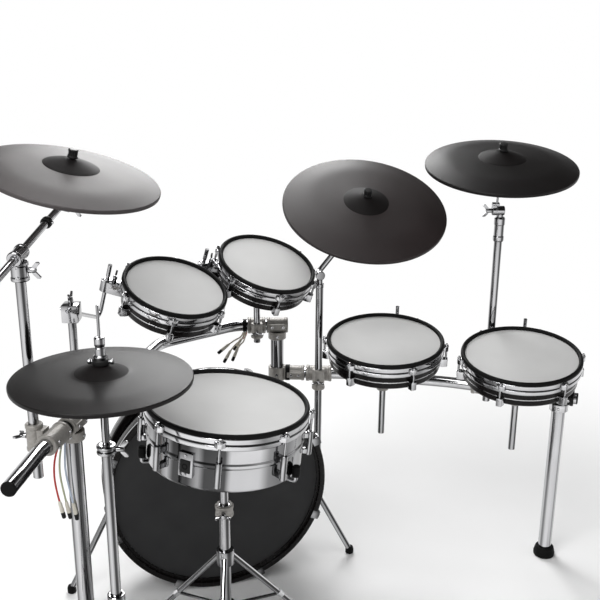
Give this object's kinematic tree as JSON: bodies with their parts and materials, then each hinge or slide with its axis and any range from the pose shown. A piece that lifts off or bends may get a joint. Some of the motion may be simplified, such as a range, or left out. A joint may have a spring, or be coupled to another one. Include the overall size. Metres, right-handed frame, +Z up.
{
  "type": "electronic drum kit",
  "caption": "Electronic drum kit on a bent chrome pipe rack, with mesh-head drums, rubber cymbal pads, a hi-hat with a pedal and a standing kick drum.",
  "frame": {"origin": "the floor under the middle of the kit's footprint", "axes": "+X to the player's right along the kit's longest side, +Y away from the player, +Z up"},
  "size_m": [1.4941, 1.2874, 1.2374],
  "materials": {
    "rack_chrome": "polished",
    "stand_chrome": "polished",
    "bright_fitting": "satin",
    "grey_casting": "satin",
    "black_rubber": "matte",
    "pad_rubber": "satin",
    "cable_jacket": "satin",
    "hoop_chrome": "polished",
    "head_mesh": "matte",
    "sensor_foam": "matte",
    "shell_black": "gloss",
    "snare_chrome": "polished",
    "pedal_steel": "satin",
    "kick_hoop_black": "gloss",
    "kick_head_black": "matte"
  },
  "bodies": {
    "kit": {"rack_left_pipe": "rack_chrome", "rack_right_pipe": "rack_chrome", "rack_uprights": "rack_chrome", "rack_feet_and_caps": "black_rubber", "rack_clamps": "grey_casting", "rack_wing_bolts": "bright_fitting", "cable_tails": "cable_jacket", "hihat_stand": "stand_chrome", "hihat_bottom_pad": "pad_rubber", "snare_stand": "stand_chrome", "kick_shell": "shell_black", "kick_hoops": "kick_hoop_black", "kick_heads": "kick_head_black", "kick_sensor": "sensor_foam"},
    "high_tom_mast": {"high_tom_post": "bright_fitting"},
    "high_tom_rod": {"high_tom_arm": "bright_fitting"},
    "high_tom_drum": {"high_tom_shell": "shell_black", "high_tom_hoop": "hoop_chrome", "high_tom_head": "head_mesh", "high_tom_sensor": "sensor_foam"},
    "mid_tom_mast": {"mid_tom_post": "bright_fitting"},
    "mid_tom_rod": {"mid_tom_arm": "bright_fitting"},
    "mid_tom_drum": {"mid_tom_shell": "shell_black", "mid_tom_hoop": "hoop_chrome", "mid_tom_head": "head_mesh", "mid_tom_sensor": "sensor_foam"},
    "low_tom_mast": {"low_tom_post": "bright_fitting"},
    "low_tom_rod": {"low_tom_arm": "bright_fitting"},
    "low_tom_drum": {"low_tom_shell": "shell_black", "low_tom_hoop": "hoop_chrome", "low_tom_head": "head_mesh", "low_tom_sensor": "sensor_foam"},
    "floor_tom_mast": {"floor_tom_post": "bright_fitting"},
    "floor_tom_rod": {"floor_tom_arm": "bright_fitting"},
    "floor_tom_drum": {"floor_tom_shell": "shell_black", "floor_tom_hoop": "hoop_chrome", "floor_tom_head": "head_mesh", "floor_tom_sensor": "sensor_foam"},
    "left_crash_mast": {"left_crash_pole": "rack_chrome"},
    "ride_mast": {"ride_pole": "rack_chrome"},
    "right_crash_mast": {"right_crash_pole": "rack_chrome"},
    "left_crash_swivel": {"left_crash_boom_clamp": "grey_casting"},
    "left_crash_arm": {"left_crash_boom": "rack_chrome"},
    "ride_arm": {"ride_boom": "rack_chrome"},
    "left_crash_head": {"left_crash_tilter": "bright_fitting"},
    "left_crash_cymbal": {"left_crash_pad": "pad_rubber"},
    "ride_head": {"ride_tilter": "bright_fitting"},
    "ride_cymbal": {"ride_pad": "pad_rubber"},
    "right_crash_head": {"right_crash_tilter": "bright_fitting"},
    "right_crash_cymbal": {"right_crash_pad": "pad_rubber"},
    "hihat_footboard": {"hihat_pedal": "pedal_steel"},
    "hihat_upper": {"hihat_rod": "bright_fitting", "hihat_top_pad": "pad_rubber"},
    "snare_top": {"snare_basket": "stand_chrome", "snare_shell": "snare_chrome", "snare_hoop": "hoop_chrome", "snare_head": "head_mesh", "snare_sensor": "sensor_foam"},
    "kick_left_leg": {"kick_left_spur": "bright_fitting"},
    "kick_right_leg": {"kick_right_spur": "bright_fitting"}
  },
  "joints": [
    {"name": "high_tom_height", "type": "slide", "parent": "kit", "child": "high_tom_mast", "axis": [0, 0, 1], "range_m": [-0.03, 0.02]},
    {"name": "high_tom_tilt", "type": "hinge", "parent": "high_tom_mast", "child": "high_tom_rod", "pos_m": [-0.5552, -0.0859, 0.871], "axis": [0.0023, -0.9368, 0.3499], "range_deg": [-6, 6]},
    {"name": "high_tom_swivel", "type": "hinge", "parent": "high_tom_rod", "child": "high_tom_drum", "pos_m": [-0.51465, 0.1554, 0.90669], "axis": [0.275, -0.244, 0.93], "range_deg": [-6, 0]},
    {"name": "mid_tom_height", "type": "slide", "parent": "kit", "child": "mid_tom_mast", "axis": [0, 0, 1], "range_m": [-0.03, 0.02]},
    {"name": "mid_tom_tilt", "type": "hinge", "parent": "mid_tom_mast", "child": "mid_tom_rod", "pos_m": [-0.15822, 0.42703, 0.77], "axis": [0.8797, 0.4294, -0.2042], "range_deg": [-6, 6]},
    {"name": "mid_tom_swivel", "type": "hinge", "parent": "mid_tom_rod", "child": "mid_tom_drum", "pos_m": [-0.28723, 0.31721, 0.90998], "axis": [0.2771, -0.2831, 0.9182], "range_deg": [0, 6]},
    {"name": "low_tom_height", "type": "slide", "parent": "kit", "child": "low_tom_mast", "axis": [0, 0, 1], "range_m": [-0.03, 0.06]},
    {"name": "low_tom_tilt", "type": "hinge", "parent": "low_tom_mast", "child": "low_tom_rod", "pos_m": [0.20705, 0.40176, 0.585], "axis": [-0.4323, -0.8994, -0.0647], "range_deg": [-6, 6]},
    {"name": "low_tom_swivel", "type": "hinge", "parent": "low_tom_rod", "child": "low_tom_drum", "pos_m": [0.24884, 0.47464, 0.70228], "axis": [-0.006, -0.1381, 0.9904], "range_deg": [-8, 3]},
    {"name": "floor_tom_height", "type": "slide", "parent": "kit", "child": "floor_tom_mast", "axis": [0, 0, 1], "range_m": [-0.004, 0.06]},
    {"name": "floor_tom_tilt", "type": "hinge", "parent": "floor_tom_mast", "child": "floor_tom_rod", "pos_m": [0.57089, 0.29951, 0.556], "axis": [-0.2891, -0.9506, -0.1135], "range_deg": [-6, 6]},
    {"name": "floor_tom_swivel", "type": "hinge", "parent": "floor_tom_rod", "child": "floor_tom_drum", "pos_m": [0.61047, 0.42311, 0.68343], "axis": [-0.029, -0.1539, 0.9877], "range_deg": [-3, 10]},
    {"name": "left_crash_height", "type": "slide", "parent": "kit", "child": "left_crash_mast", "axis": [0, 0, 1], "range_m": [-0.1, 0.06]},
    {"name": "left_crash_turn", "type": "hinge", "parent": "left_crash_mast", "child": "left_crash_swivel", "pos_m": [-0.60048, -0.2889, 1.025], "axis": [0, 0, 1], "range_deg": [-20, 20]},
    {"name": "left_crash_reach", "type": "slide", "parent": "left_crash_swivel", "child": "left_crash_arm", "axis": [0.104, 0.9751, 0.1959], "range_m": [-0.08, 0.06]},
    {"name": "left_crash_tilt", "type": "hinge", "parent": "left_crash_arm", "child": "left_crash_head", "pos_m": [-0.56425, -0.03048, 1.10484], "axis": [0.9728, 0, -0.2316], "range_deg": [-25, 0]},
    {"name": "ride_height", "type": "slide", "parent": "kit", "child": "ride_mast", "axis": [0, 0, 1], "range_m": [-0.08, 0.06]},
    {"name": "ride_swing", "type": "hinge", "parent": "ride_mast", "child": "ride_arm", "pos_m": [0.01722, 0.43605, 0.822], "axis": [-0.2779, 0.9606, 0], "range_deg": [-10, 10]},
    {"name": "ride_tilt", "type": "hinge", "parent": "ride_arm", "child": "ride_head", "pos_m": [0.13808, 0.45685, 0.96852], "axis": [0.9944, 0, -0.1059], "range_deg": [-15, 10]},
    {"name": "right_crash_height", "type": "slide", "parent": "kit", "child": "right_crash_mast", "axis": [0, 0, 1], "range_m": [-0.06, 0.06]},
    {"name": "right_crash_tilt", "type": "hinge", "parent": "right_crash_mast", "child": "right_crash_head", "pos_m": [0.50196, 0.4145, 1.01189], "axis": [0.9999, 0, 0.0102], "range_deg": [-15, 15]},
    {"name": "left_crash_rock", "type": "hinge", "parent": "left_crash_head", "child": "left_crash_cymbal", "pos_m": [-0.54103, -0.0426, 1.20239], "axis": [0.9728, 0, -0.2316], "range_deg": [-5, 5], "stiffness_Nm_per_rad": 14},
    {"name": "ride_rock", "type": "hinge", "parent": "ride_head", "child": "ride_cymbal", "pos_m": [0.14559, 0.42194, 1.03899], "axis": [0.9944, 0, -0.1059], "range_deg": [-5, 5], "stiffness_Nm_per_rad": 14},
    {"name": "right_crash_rock", "type": "hinge", "parent": "right_crash_head", "child": "right_crash_cymbal", "pos_m": [0.50037, 0.38063, 1.16723], "axis": [0.9999, 0, 0.0102], "range_deg": [-5, 5], "stiffness_Nm_per_rad": 14},
    {"name": "hihat_press", "type": "hinge", "parent": "kit", "child": "hihat_footboard", "pos_m": [-0.4235, -0.6037, 0.014], "axis": [1, 0, 0], "range_deg": [-5.2, 0], "stiffness_Nm_per_rad": 22, "springref_deg": 20.05},
    {"name": "hihat_close", "type": "slide", "parent": "kit", "child": "hihat_upper", "axis": [0, 0, 1], "range_m": [-0.0187, 0]},
    {"name": "snare_height", "type": "slide", "parent": "kit", "child": "snare_top", "axis": [0, 0, 1], "range_m": [-0.05, 0.08]},
    {"name": "kick_left_fold", "type": "hinge", "parent": "kit", "child": "kick_left_leg", "pos_m": [-0.54708, 0.12738, 0.23923], "axis": [-0.9445, -0.2543, -0.2079], "range_deg": [0, 70]},
    {"name": "kick_right_fold", "type": "hinge", "parent": "kit", "child": "kick_right_leg", "pos_m": [0.00508, 0.27606, 0.23923], "axis": [0.9445, 0.2543, -0.2079], "range_deg": [-70, 0]}
  ],
  "couplings": [
    {"joint": "hihat_close", "follows": "hihat_press", "m_per_rad": 0.205}
  ]
}
